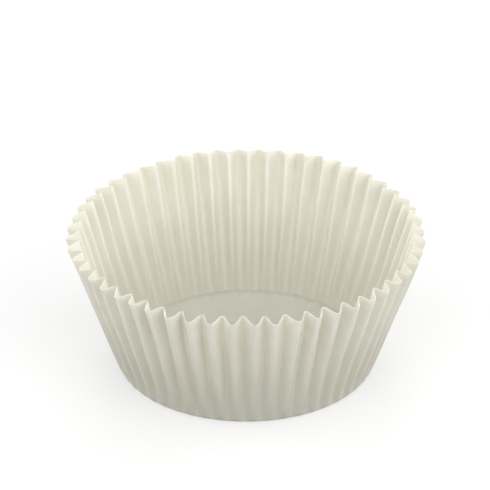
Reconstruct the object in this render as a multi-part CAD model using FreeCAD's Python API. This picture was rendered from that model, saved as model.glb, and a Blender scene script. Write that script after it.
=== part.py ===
# Cupcake liner: one round sheet of paper, pressed into a flat base and a fluted wall that flares up to a
# scalloped mouth. Millimetres, +Z up, origin at the centre of the underside of the base.
import FreeCAD, Part
import math
import os

os.makedirs("parts", exist_ok=True)
doc = FreeCAD.newDocument("cupcake_liner")
vector = FreeCAD.Vector

# Driving sizes
driving_sizes = {
    "base_diameter": 50.8,  # the flat base, crease to crease
    "wall_width": 29.1,  # paper between the crease and the cut edge
    "mouth_diameter": 70.7,  # over the outward ridges at the cut edge
    "flute_depth": 2.35,  # from ridge to groove at the cut edge
    "flute_count": 52,
    "ridge_bend": 0.8,  # radius of an outward ridge, on the paper's outer face
    "groove_bend": 0.45,  # radius of a groove, on the paper's outer face
    "paper_thickness": 0.08,
    "toe_width": 1.2,  # paper between the crease and where the flutes have opened
    "waist_width": 8.0,  # paper between the crease and where the flutes grow more slowly
}
bend_facets = 4  # flat facets round each bend

sheet = doc.addObject("Spreadsheet::Sheet", "sizes")
for row, (alias, value) in enumerate(driving_sizes.items(), start=1):
    sheet.set(f"A{row}", alias)
    sheet.set(f"B{row}", str(value))
    sheet.setAlias(f"B{row}", alias)
doc.recompute()

base_radius = sheet.base_diameter / 2
mouth_radius = sheet.mouth_diameter / 2
half_flute = math.pi / sheet.flute_count
levels = [sheet.toe_width, sheet.waist_width, sheet.wall_width]


# The wall at a width: a distance measured on the paper, out from the crease
def middle_radius(width):
    """Radius of the wall's middle line, halfway between its ridges and its grooves."""
    lean = (mouth_radius - sheet.flute_depth / 2 - base_radius) / sheet.wall_width
    return base_radius + lean * width


def gathered_paper(width):
    """How much paper the flutes take up, because the flat sheet is longer round than the formed wall."""
    fullness = (base_radius + width) / middle_radius(width)
    return middle_radius(width) * math.sqrt(fullness**2 - 1)


def depth_at(width):
    """Ridge to groove: it grows from nothing at the crease, fast at first, as the gathered paper does."""
    return sheet.flute_depth * gathered_paper(width) / gathered_paper(sheet.wall_width)


# One flute seen from above, from the middle of a groove over the ridge on +X to the middle of the next groove
def fan(centre, radius, first_turn, last_turn):
    """Points on half a bend, evenly spaced."""
    points = []
    steps = bend_facets // 2
    for step in range(steps + 1):
        turn = first_turn + (last_turn - first_turn) * step / steps
        points.append(centre + vector(math.cos(turn), math.sin(turn), 0) * radius)
    return points


def flute_outline(width, inset):
    """Inset is how far the paper's face lies behind its outer face."""
    ridge_centre = vector(middle_radius(width) + depth_at(width) / 2 - sheet.ridge_bend, 0, 0)
    groove_reach = middle_radius(width) - depth_at(width) / 2 + sheet.groove_bend
    groove_centre = vector(math.cos(half_flute), math.sin(half_flute), 0) * groove_reach
    span = groove_centre - ridge_centre
    # the flank is the straight line that touches both bends, so it lies square to this turn
    flank_turn = math.atan2(span.y, span.x) - math.acos((sheet.ridge_bend + sheet.groove_bend) / span.Length)
    half = fan(ridge_centre, sheet.ridge_bend - inset, 0, flank_turn)
    half += fan(groove_centre, -sheet.groove_bend - inset, flank_turn, half_flute)
    mirrored = [vector(point.x, -point.y, 0) for point in reversed(half[1:])]
    return mirrored + half


def raised(point, width):
    """The point lifted until it is a width away from the crease, as on a sheet hinged there."""
    out_from_crease = math.hypot(point.x, point.y) - base_radius
    return vector(point.x, point.y, math.sqrt(width**2 - out_from_crease**2))


def at_crease(point, inset):
    """The point brought in to the crease: the floor of the cup is one paper thickness above its underside."""
    share = (base_radius - inset) / math.hypot(point.x, point.y)
    return vector(point.x * share, point.y * share, inset)


def flute_rows(inset):
    """Rows of points up one flute, from the crease to the cut edge."""
    rows = [[at_crease(point, inset) for point in flute_outline(sheet.toe_width, inset)]]
    for width in levels:
        rows.append([raised(point, width) for point in flute_outline(width, inset)])
    return rows


# The paper's faces
def flat_face(points):
    return Part.Face(Part.makePolygon(points + points[:1]))


def strip_faces(lower, upper):
    """Two flat triangles for each stretch between two rows, with diagonals that mirror about the ridge."""
    faces = []
    for index in range(len(lower) - 1):
        low_start, low_end = lower[index], lower[index + 1]
        high_start, high_end = upper[index], upper[index + 1]
        if index < len(lower) // 2:
            faces.append(flat_face([low_start, low_end, high_end]))
            faces.append(flat_face([low_start, high_end, high_start]))
        else:
            faces.append(flat_face([low_start, low_end, high_start]))
            faces.append(flat_face([low_end, high_end, high_start]))
    return faces


def turned_rows(rows, flute):
    """The rows carried round to another flute."""
    turn = FreeCAD.Rotation(vector(0, 0, 1), math.degrees(2 * half_flute * flute))
    return [[turn.multVec(point) for point in row] for row in rows]


def liner_shape():
    outer_rows = flute_rows(0)
    inner_rows = flute_rows(sheet.paper_thickness)
    faces = []
    underside = []
    floor = []
    for flute in range(int(sheet.flute_count)):
        outer = turned_rows(outer_rows, flute)
        inner = turned_rows(inner_rows, flute)
        for rows in (outer, inner):
            for lower, upper in zip(rows, rows[1:]):
                faces += strip_faces(lower, upper)
        faces += strip_faces(outer[-1], inner[-1])  # the cut edge
        underside += outer[0][:-1]
        floor += inner[0][:-1]
    faces.append(flat_face(underside))
    faces.append(flat_face(floor))
    shell = Part.makeShell(faces)
    shell.sewShape()
    return Part.makeSolid(shell)


liner = doc.addObject("Part::Feature", "cupcake_liner")
liner.Label = "cupcake_liner"
liner.Shape = liner_shape()
liner.Placement = FreeCAD.Placement()
doc.recompute()

for thing in doc.Objects:
    if "Invalid" in thing.State or "Error" in thing.State:
        raise RuntimeError(f"{thing.Label} failed to recompute")
if liner.Shape.isNull() or not liner.Shape.isValid() or len(liner.Shape.Solids) != 1:
    raise RuntimeError(f"{liner.Label} isn't one valid solid")
if liner.Shape.Volume < 0:
    raise RuntimeError(f"{liner.Label} is inside out")

liner.Shape.exportStep(f"parts/{liner.Label}.step")
print(liner.Label, round(liner.Shape.Volume, 1), "cubic mm,", len(liner.Shape.Faces), "faces")
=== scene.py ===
import bpy
import bmesh
import math
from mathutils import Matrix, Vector


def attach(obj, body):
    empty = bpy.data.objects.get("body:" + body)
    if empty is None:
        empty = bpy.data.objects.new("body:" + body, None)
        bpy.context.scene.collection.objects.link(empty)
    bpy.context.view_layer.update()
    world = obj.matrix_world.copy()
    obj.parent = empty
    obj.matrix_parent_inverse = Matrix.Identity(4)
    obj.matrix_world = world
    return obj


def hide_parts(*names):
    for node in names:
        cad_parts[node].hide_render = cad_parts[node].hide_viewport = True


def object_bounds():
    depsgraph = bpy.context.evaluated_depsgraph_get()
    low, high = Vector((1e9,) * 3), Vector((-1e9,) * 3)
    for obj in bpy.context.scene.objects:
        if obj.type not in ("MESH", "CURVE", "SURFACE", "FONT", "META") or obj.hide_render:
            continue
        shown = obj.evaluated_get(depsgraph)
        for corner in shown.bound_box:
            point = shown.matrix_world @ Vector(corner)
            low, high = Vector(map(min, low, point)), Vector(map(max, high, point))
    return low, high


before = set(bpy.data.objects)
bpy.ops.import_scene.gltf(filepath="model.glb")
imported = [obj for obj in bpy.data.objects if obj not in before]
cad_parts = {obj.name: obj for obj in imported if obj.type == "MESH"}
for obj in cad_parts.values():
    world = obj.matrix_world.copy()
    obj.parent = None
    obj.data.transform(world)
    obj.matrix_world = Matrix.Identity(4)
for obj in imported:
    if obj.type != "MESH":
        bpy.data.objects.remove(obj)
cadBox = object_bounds()
print("frame loaded")


# picking and shaping, as by hand
def deselectAll():
    if bpy.context.mode != "OBJECT":
        bpy.ops.object.mode_set(mode="OBJECT")
    bpy.ops.object.select_all(action="DESELECT")


def makeActive(piece):
    deselectAll()
    piece.select_set(True)
    bpy.context.view_layer.objects.active = piece


def editPiece(piece):
    makeActive(piece)
    bpy.ops.object.mode_set(mode="EDIT")
    bpy.ops.mesh.select_mode(type="VERT")
    bpy.ops.mesh.select_all(action="DESELECT")


def pickVertices(piece, wanted):
    # selects the vertices whose place passes the test, and the edges and faces between them
    mesh = bmesh.from_edit_mesh(piece.data)
    for vertex in mesh.verts:
        vertex.select_set(wanted(vertex.co))
    mesh.select_flush_mode()
    bmesh.update_edit_mesh(piece.data)


def applyModifier(piece, kind, name, **settings):
    makeActive(piece)
    modifier = piece.modifiers.new(name, kind)
    for key, value in settings.items():
        setattr(modifier, key, value)
    bpy.ops.object.modifier_apply(modifier=modifier.name)


# the liner: one flute is shaped flat and upright, repeated in a strip, and bent round to a ring
liner = {
    "mouthRadius": cadBox[1].x,   # over the ridges
    "baseRadius": 0.0254,
    "wallWidth": 0.0291,     # paper between crease and cut edge
    "fluteDepth": 0.00235,   # ridge to groove at the cut edge
    "fluteCount": 52,
    "ridgeBend": 0.0008,
    "grooveBend": 0.00045,
    "bendSteps": 5,          # stretches round half a bend
    "wallRows": 22,
    "rowSpread": 1.35,       # above 1, rows lie closer together near the crease
    "paper": 0.00008,        # thickness
    "creaseBevel": 0.00016,
    "creaseSegments": 2,
    "creaseStart": 0.999,    # in base radii, as are the next three
    "baseRings": (0.975, 0.95, 0.92, 0.89, 0.86, 0.6, 0.3),
    "runoutPeak": 0.95,
    "runoutEnd": 0.86,
    "runoutHeight": 0.0003,
    "unevenness": 0.0008,    # from one extreme to the other
    "unevenScale": 0.0055,
    "unevenDepth": 1,
    "unevenStretch": 1000,   # up the wall, so that each flute stays straight
    "evenEnds": 0.009,       # the strip's two ends stay as they are, because they meet
    "smoothAngle": 42,       # degrees
    "pickReach": 0.25,       # in gaps between columns or rows
    "samePlace": 1e-7,
    "seamReach": 1e-6,
}


def middleRadius(width):
    lean = (liner["mouthRadius"] - liner["fluteDepth"] / 2 - liner["baseRadius"]) / liner["wallWidth"]
    return liner["baseRadius"] + lean * width


def gatheredPaper(width):
    # the flat sheet is longer round than the formed wall, and the flutes take up what is over
    fullness = (liner["baseRadius"] + width) / middleRadius(width)
    return middleRadius(width) * math.sqrt(fullness ** 2 - 1)


def fluteProfile(depth, pitch):
    # half a flute at the cut edge, from ridge to groove: (along the strip, outwards)
    ridgeBend, grooveBend, steps = liner["ridgeBend"], liner["grooveBend"], liner["bendSteps"]
    ridgeCentre = Vector((0, depth / 2 - ridgeBend))
    grooveCentre = Vector((pitch / 2, grooveBend - depth / 2))
    span = grooveCentre - ridgeCentre
    # the flank is the straight line that touches both bends
    flankTurn = math.atan2(span.x, span.y) - math.acos((ridgeBend + grooveBend) / span.length)
    ridgeSide = []
    grooveSide = []
    for step in range(steps + 1):
        turn = flankTurn * step / steps
        outward = Vector((math.sin(turn), math.cos(turn)))
        ridgeSide.append(ridgeCentre + outward * ridgeBend)
        grooveSide.insert(0, grooveCentre - outward * grooveBend)
    return ridgeSide + [(ridgeSide[-1] + grooveSide[0]) / 2] + grooveSide


def makeFlute():
    wallWidth, rows = liner["wallWidth"], liner["wallRows"]
    lean = math.asin((middleRadius(wallWidth) - liner["baseRadius"]) / wallWidth)
    rimPitch = 2 * math.pi * middleRadius(wallWidth) / liner["fluteCount"]
    pitch = 2 * math.pi * liner["baseRadius"] / liner["fluteCount"]
    half = fluteProfile(liner["fluteDepth"] / math.cos(lean), rimPitch)
    profile = [Vector((-point.x, point.y)) for point in reversed(half[1:])] + half
    columns = len(profile) - 1
    columnGap, rowGap = pitch / columns, wallWidth / rows
    columnReach, rowReach = columnGap * liner["pickReach"], rowGap * liner["pickReach"]
    near = liner["samePlace"]
    deselectAll()
    bpy.ops.mesh.primitive_grid_add(x_subdivisions=columns, y_subdivisions=rows, size=1,
                                    rotation=(math.pi / 2, 0, 0), location=(0, 0, wallWidth / 2))
    flute = bpy.context.object
    flute.scale = (pitch, wallWidth, 1)
    bpy.ops.object.transform_apply(location=True, rotation=True, scale=True)
    editPiece(flute)
    # outermost columns first, so that no column lands on one that is still to be picked
    for index in sorted(range(columns + 1), key=lambda number: -abs(number - columns / 2)):
        x = (index - columns / 2) * columnGap
        pickVertices(flute, lambda place: abs(place.x - x) < columnReach and abs(place.y) < near)
        point = profile[index]
        bpy.ops.transform.translate(value=(point.x * pitch / rimPitch - x, point.y, 0))
    for index in range(rows, -1, -1):
        z = index * rowGap
        width = wallWidth * (index / rows) ** liner["rowSpread"]
        share = gatheredPaper(width) / gatheredPaper(wallWidth)
        pickVertices(flute, lambda place: abs(place.z - z) < rowReach)
        bpy.ops.transform.resize(value=(1, share, 1), center_override=(0, 0, z))
    for index in range(1, rows):
        z = index * rowGap
        width = wallWidth * (index / rows) ** liner["rowSpread"]
        pickVertices(flute, lambda place: abs(place.z - z) < near)
        bpy.ops.transform.translate(value=(0, 0, width - z))
    bpy.ops.mesh.select_all(action="SELECT")
    bpy.ops.transform.rotate(value=lean, orient_axis="X", center_override=(0, 0, 0))
    bpy.ops.object.mode_set(mode="OBJECT")
    return flute, pitch


def makeBase(piece):
    near = liner["samePlace"]
    creaseStart = liner["baseRadius"] * liner["creaseStart"]
    editPiece(piece)
    pickVertices(piece, lambda place: place.z < near)
    bpy.ops.mesh.select_mode(type="EDGE")
    reached = 1
    for reach in liner["baseRings"]:
        bpy.ops.mesh.extrude_edges_move()
        share = reach / reached
        bpy.ops.transform.resize(value=(share, share, 1), center_override=(0, 0, 0))
        reached = reach
    bpy.ops.mesh.extrude_edges_move()
    bpy.ops.mesh.merge(type="CENTER")
    bpy.ops.mesh.select_mode(type="VERT")
    pickVertices(piece, lambda place: place.z < near and place.xy.length > creaseStart)
    bpy.ops.mesh.select_mode(type="EDGE")
    bpy.ops.mesh.bevel(offset=liner["creaseBevel"], segments=liner["creaseSegments"])
    bpy.ops.object.mode_set(mode="OBJECT")


def makeRunout(piece):
    # on the base the grooves run out in short raised creases
    creases = piece.vertex_groups.new(name="creases")
    peak, end = liner["runoutPeak"], liner["runoutEnd"]
    for vertex in piece.data.vertices:
        share = vertex.co.xy.length / liner["baseRadius"]
        along = min((1 - share) / (1 - peak), (share - end) / (peak - end))
        turn = liner["fluteCount"] * math.atan2(vertex.co.y, vertex.co.x)
        groove = (1 - math.cos(turn)) / 2    # 0 on a ridge, 1 in a groove
        creases.add([vertex.index], max(0, along * groove), "REPLACE")
    applyModifier(piece, "DISPLACE", "creases", direction="Z", strength=liner["runoutHeight"], mid_level=0,
                  vertex_group="creases")
    piece.vertex_groups.clear()


def makeUneven(strip):
    # pressed flutes aren't all alike: each stays straight, but wanders a little, most at the cut edge
    wall = strip.vertex_groups.new(name="wall")
    places = [vertex.co for vertex in strip.data.vertices]
    height = max(place.z for place in places)
    start = min(place.x for place in places)
    end = max(place.x for place in places)
    for vertex in strip.data.vertices:
        nearEnd = min(vertex.co.x - start, end - vertex.co.x) / liner["evenEnds"]
        wall.add([vertex.index], max(0, min(1, nearEnd) * vertex.co.z / height), "REPLACE")
    deselectAll()
    bpy.ops.object.empty_add()
    stretch = bpy.context.object
    stretch.scale = (1, 1, liner["unevenStretch"])
    waves = bpy.data.textures.new("paperWaves", "CLOUDS")
    waves.noise_scale = liner["unevenScale"]
    waves.noise_depth = liner["unevenDepth"]
    waves.cloud_type = "COLOR"
    bpy.context.view_layer.update()
    applyModifier(strip, "DISPLACE", "unevenness", texture=waves, texture_coords="OBJECT",
                  texture_coords_object=stretch, direction="RGB_TO_XYZ", strength=liner["unevenness"],
                  mid_level=0.5, vertex_group="wall")
    bpy.data.objects.remove(stretch)
    strip.vertex_groups.clear()


def makeLiner():
    piece, pitch = makeFlute()
    piece.name = "linerPaper"
    applyModifier(piece, "ARRAY", "flutes", count=liner["fluteCount"], use_relative_offset=False,
                  use_constant_offset=True, constant_offset_displace=(pitch, 0, 0),
                  use_merge_vertices=True, merge_threshold=liner["seamReach"])
    makeUneven(piece)
    applyModifier(piece, "SIMPLE_DEFORM", "ring", deform_method="BEND", deform_axis="Z",
                  angle=-2 * math.pi)
    editPiece(piece)
    bpy.ops.mesh.select_all(action="SELECT")
    bpy.ops.transform.translate(value=(0, liner["baseRadius"], 0))
    bpy.ops.mesh.remove_doubles(threshold=liner["seamReach"])
    bpy.ops.object.mode_set(mode="OBJECT")
    makeBase(piece)
    makeRunout(piece)
    editPiece(piece)
    bpy.ops.mesh.select_all(action="SELECT")
    bpy.ops.mesh.remove_doubles(threshold=liner["samePlace"])
    bpy.ops.mesh.normals_make_consistent(inside=False)
    bpy.ops.object.mode_set(mode="OBJECT")
    applyModifier(piece, "SOLIDIFY", "thickness", thickness=liner["paper"], offset=-1)
    makeActive(piece)
    bpy.ops.object.shade_smooth_by_angle(angle=math.radians(liner["smoothAngle"]))
    return piece


# nodes: settings first, then each input gets its value or its link
def addNode(tree, kind, values, **settings):
    node = tree.nodes.new(kind)
    for key, value in settings.items():
        setattr(node, key, value)
    for key, value in values.items():
        if isinstance(value, bpy.types.NodeSocket):
            tree.links.new(value, node.inputs[key])
        else:
            node.inputs[key].default_value = value
    return node


# the paper: off-white greaseproof, a little cloudy, with painted shade that makes it yellower and darker in
# its valleys and darker towards the crease
paper = {
    "light": (0.740, 0.725, 0.630, 1),
    "dark": (0.695, 0.679, 0.580, 1),
    "cloudScale": 140,
    "cloudDetail": 4,
    "cloudRange": (0.35, 0.65),      # of the noise, from all dark to all light
    # painted shade: the flutes' hollows yellower and darker, more so towards the cut edge
    "grooveShade": (0.725, 0.688, 0.550, 1),
    "grooveShadeShare": (0.25, 0.85),     # at the crease, at the cut edge
    "grooveShadeReach": (0.26, 0.5),      # from the fold that stands out, in flutes
    "grooveShadeHeights": (0.004, 0.027),
    "foldsReach": (0.92, 1.01),      # the folds die out inside the crease, in base radii
    # painted shade: the wall's colour, darker towards the crease at its foot
    "crease": (0.575, 0.563, 0.482, 1),
    "creaseShare": 0.85,
    "creaseHeight": 0.023,
    "fibreScale": 900,
    "fibreDetail": 6,
    "fibreBump": 0.06,
    "fibreHeight": 0.0002,
    "roughness": 0.62,
    "translucency": 0.34,
    "scatterReach": (1, 0.95, 0.8),  # red light goes furthest
    "scatterScale": 0.0006,
}


def smoothRange(tree, value, start, end, first=0, last=1):
    node = addNode(tree, "ShaderNodeMapRange",
                   {"Value": value, "From Min": start, "From Max": end, "To Min": first, "To Max": last},
                   interpolation_type="SMOOTHSTEP")
    return node.outputs["Result"]


def calculate(tree, operation, *values):
    node = addNode(tree, "ShaderNodeMath", dict(enumerate(values)), operation=operation)
    return node.outputs["Value"]


def mixColour(tree, share, first, second):
    node = addNode(tree, "ShaderNodeMix", {"Factor": share, "A": first, "B": second}, data_type="RGBA")
    return node.outputs["Result"]


def distanceFromMiddle(tree, place):
    flat = addNode(tree, "ShaderNodeVectorMath", {0: place, 1: (1, 1, 0)}, operation="MULTIPLY")
    distance = addNode(tree, "ShaderNodeVectorMath", {0: flat.outputs["Vector"]}, operation="LENGTH")
    return distance.outputs["Value"]


def paperMaterial():
    material = bpy.data.materials.new("bakingPaper")
    material.use_nodes = True
    tree = material.node_tree
    shader = tree.nodes["Principled BSDF"]
    coordinates = tree.nodes.new("ShaderNodeTexCoord")
    place = coordinates.outputs["Object"]
    clouds = addNode(tree, "ShaderNodeTexNoise",
                     {"Vector": place, "Scale": paper["cloudScale"], "Detail": paper["cloudDetail"]})
    cloudShare = addNode(tree, "ShaderNodeMapRange",
                         {"Value": clouds.outputs["Fac"], "From Min": paper["cloudRange"][0],
                          "From Max": paper["cloudRange"][1]})
    colour = mixColour(tree, cloudShare.outputs["Result"], paper["dark"], paper["light"])

    # only the wall is folded
    baseStart, wallStart = [share * liner["baseRadius"] for share in paper["foldsReach"]]
    folds = smoothRange(tree, distanceFromMiddle(tree, place), baseStart, wallStart)
    height = addNode(tree, "ShaderNodeSeparateXYZ", {"Vector": place}).outputs["Z"]
    # painted shade: the wall darkens towards the crease, fading out higher up the wall
    paintedShadeNearCrease = smoothRange(tree, height, 0, paper["creaseHeight"], paper["creaseShare"], 0)
    colour = mixColour(tree, calculate(tree, "MULTIPLY", folds, paintedShadeNearCrease), colour, paper["crease"])

    # across a flute, U runs from groove to groove, with the ridge halfway
    ridge = 0.5
    across = addNode(tree, "ShaderNodeSeparateXYZ", {"Vector": coordinates.outputs["UV"]}).outputs["X"]
    fromRidge = calculate(tree, "ABSOLUTE", calculate(tree, "SUBTRACT", across, ridge))
    fromGroove = calculate(tree, "SUBTRACT", ridge, fromRidge)

    # painted shade in the hollows, yellower and darker: outside in the groove, and inside at the back of the
    # ridge
    normal = tree.nodes.new("ShaderNodeNewGeometry").outputs["Normal"]
    facing = addNode(tree, "ShaderNodeVectorMath", {0: normal, 1: place}, operation="DOT_PRODUCT")
    outside = calculate(tree, "GREATER_THAN", facing.outputs["Value"], 0)
    fromHigh = addNode(tree, "ShaderNodeMix", {"Factor": outside, "A": fromGroove, "B": fromRidge})
    grooveShade = smoothRange(tree, fromHigh.outputs["Result"], *paper["grooveShadeReach"])
    risen = smoothRange(tree, height, *paper["grooveShadeHeights"], *paper["grooveShadeShare"])
    wallShare = calculate(tree, "MULTIPLY", folds, risen)
    colour = mixColour(tree, calculate(tree, "MULTIPLY", wallShare, grooveShade), colour, paper["grooveShade"])
    tree.links.new(colour, shader.inputs["Base Color"])

    fibres = addNode(tree, "ShaderNodeTexNoise",
                     {"Vector": place, "Scale": paper["fibreScale"], "Detail": paper["fibreDetail"]})
    bump = addNode(tree, "ShaderNodeBump",
                   {"Height": fibres.outputs["Fac"], "Strength": paper["fibreBump"],
                    "Distance": paper["fibreHeight"]})
    tree.links.new(bump.outputs["Normal"], shader.inputs["Normal"])
    shader.inputs["Roughness"].default_value = paper["roughness"]
    shader.inputs["Subsurface Weight"].default_value = paper["translucency"]
    shader.inputs["Subsurface Radius"].default_value = paper["scatterReach"]
    shader.inputs["Subsurface Scale"].default_value = paper["scatterScale"]
    return material


piece = makeLiner()
piece.data.materials.clear()
piece.data.materials.append(paperMaterial())
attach(piece, "root")
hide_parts("cupcake_liner")
print("liner made", len(piece.data.vertices), "vertices")


# the studio: a pale floor and soft lamps all round
studio = {
    "white": (1, 1, 1, 1),
    "floorRadius": 3,
    "floorCorners": 96,
    "floorGap": 0.0001,              # under the base, so that the two faces don't coincide
    "floorReach": (0.045, 0.16),     # from the cup's middle, where the floor turns into the background
    "floorShown": 0.45,              # what the camera sees of the lamps' light on the floor near the cup
    "floorGlow": 0.44,
    "floorSends": (0.04, 0.6),       # for the light that the floor sends up, near the cup and further out
    "floorRoughness": 0.9,
    "ambient": 0.42,
    "lampAim": 0.014,
    "lamps": {
        # azimuth from the front towards the right, elevation, distance, size, watts
        "lampLeft": (-39, 28, 0.36, 0.37, 0.58),
        "lampRight": (39, 28, 0.36, 0.37, 0.77),
        "lampLeftSide": (-100, 20, 0.34, 0.24, 0.42),
        "lampRightSide": (100, 20, 0.34, 0.24, 0.46),
        "lampAbove": (0, 80, 0.34, 0.26, 0.15),
        "lampBack": (180, 30, 0.34, 0.24, 0.40),
    },
}


def whiteForCamera(tree):
    # 1 for what the camera sees, straight or in gloss or through something, and 0 for light on the object
    rays = tree.nodes.new("ShaderNodeLightPath")
    seen = rays.outputs["Is Camera Ray"]
    for other in ("Is Glossy Ray", "Is Transmission Ray"):
        seen = calculate(tree, "MAXIMUM", seen, rays.outputs[other])
    return seen


def makeFloor():
    deselectAll()
    bpy.ops.mesh.primitive_circle_add(vertices=studio["floorCorners"], radius=studio["floorRadius"],
                                      fill_type="NGON", location=(0, 0, -studio["floorGap"]))
    floor = bpy.context.object
    floor.name = "floor"
    material = bpy.data.materials.new("paleFloor")
    material.use_nodes = True
    tree = material.node_tree
    shader = tree.nodes["Principled BSDF"]
    # near the cup the floor takes its shadow, and further out it turns into the white background
    place = tree.nodes.new("ShaderNodeTexCoord").outputs["Object"]
    away = distanceFromMiddle(tree, place)
    seen = whiteForCamera(tree)
    shown = smoothRange(tree, away, *studio["floorReach"], studio["floorShown"], 0)
    glow = smoothRange(tree, away, *studio["floorReach"], studio["floorGlow"], 1)
    sentUp = smoothRange(tree, away, *studio["floorReach"], *studio["floorSends"])
    colour = addNode(tree, "ShaderNodeMix", {"Factor": seen, "A": sentUp, "B": shown})
    tree.links.new(colour.outputs["Result"], shader.inputs["Base Color"])
    tree.links.new(calculate(tree, "MULTIPLY", glow, seen), shader.inputs["Emission Strength"])
    shader.inputs["Emission Color"].default_value = studio["white"]
    shader.inputs["Roughness"].default_value = studio["floorRoughness"]
    floor.data.materials.append(material)


def makeWorld():
    world = bpy.data.worlds.new("studioWorld")
    bpy.context.scene.world = world
    world.use_nodes = True
    tree = world.node_tree
    background = tree.nodes["Background"]
    background.inputs["Color"].default_value = studio["white"]
    level = addNode(tree, "ShaderNodeMapRange", {"Value": whiteForCamera(tree), "To Min": studio["ambient"]})
    tree.links.new(level.outputs["Result"], background.inputs["Strength"])


def directionTo(azimuth, elevation):
    # both in radians, and the azimuth from the front towards the right
    level = math.cos(elevation)
    return Vector((math.sin(azimuth) * level, -math.cos(azimuth) * level, math.sin(elevation)))


def makeLamps():
    for name, (azimuth, elevation, distance, size, watts) in studio["lamps"].items():
        data = bpy.data.lights.new(name, "AREA")
        data.shape = "DISK"
        data.size = size
        data.energy = watts
        lamp = bpy.data.objects.new(name, data)
        bpy.context.scene.collection.objects.link(lamp)
        away = directionTo(math.radians(azimuth), math.radians(elevation))
        lamp.location = away * distance + Vector((0, 0, studio["lampAim"]))
        lamp.visible_camera = False
        lamp.rotation_euler = away.to_track_quat("Z", "Y").to_euler()


makeFloor()
makeWorld()
makeLamps()
print("studio made")


# the camera: it stands where the photograph was taken from, and the base's centre lies low in the picture
view = {
    "turn": -2.6,            # degrees from the front, round the cup
    "elevation": 31,         # of the line from the base's centre to the camera
    "distance": 0.94,
    "lens": 346.4,
    "baseRight": 1.3,        # pixels of the photograph from its middle to the base's centre
    "baseDown": 109.4,
    "photoWidth": 490,
    "sensor": 36,
}


def makeCamera():
    camera = bpy.data.objects.new("camera", bpy.data.cameras.new("camera"))
    bpy.context.scene.collection.objects.link(camera)
    camera.data.lens = view["lens"]
    camera.data.sensor_width = view["sensor"]
    turn, rise = math.radians(view["turn"]), math.radians(view["elevation"])
    camera.location = directionTo(turn, rise) * view["distance"]
    focus = view["lens"] / view["sensor"] * view["photoWidth"]    # in pixels
    rise -= math.atan(view["baseDown"] / focus)
    turn += math.atan(view["baseRight"] / focus)
    camera.rotation_euler = (math.pi / 2 - rise, 0, turn)
    bpy.context.scene.camera = camera


makeCamera()
bpy.context.scene.view_settings.view_transform = "Standard"
print("camera made")
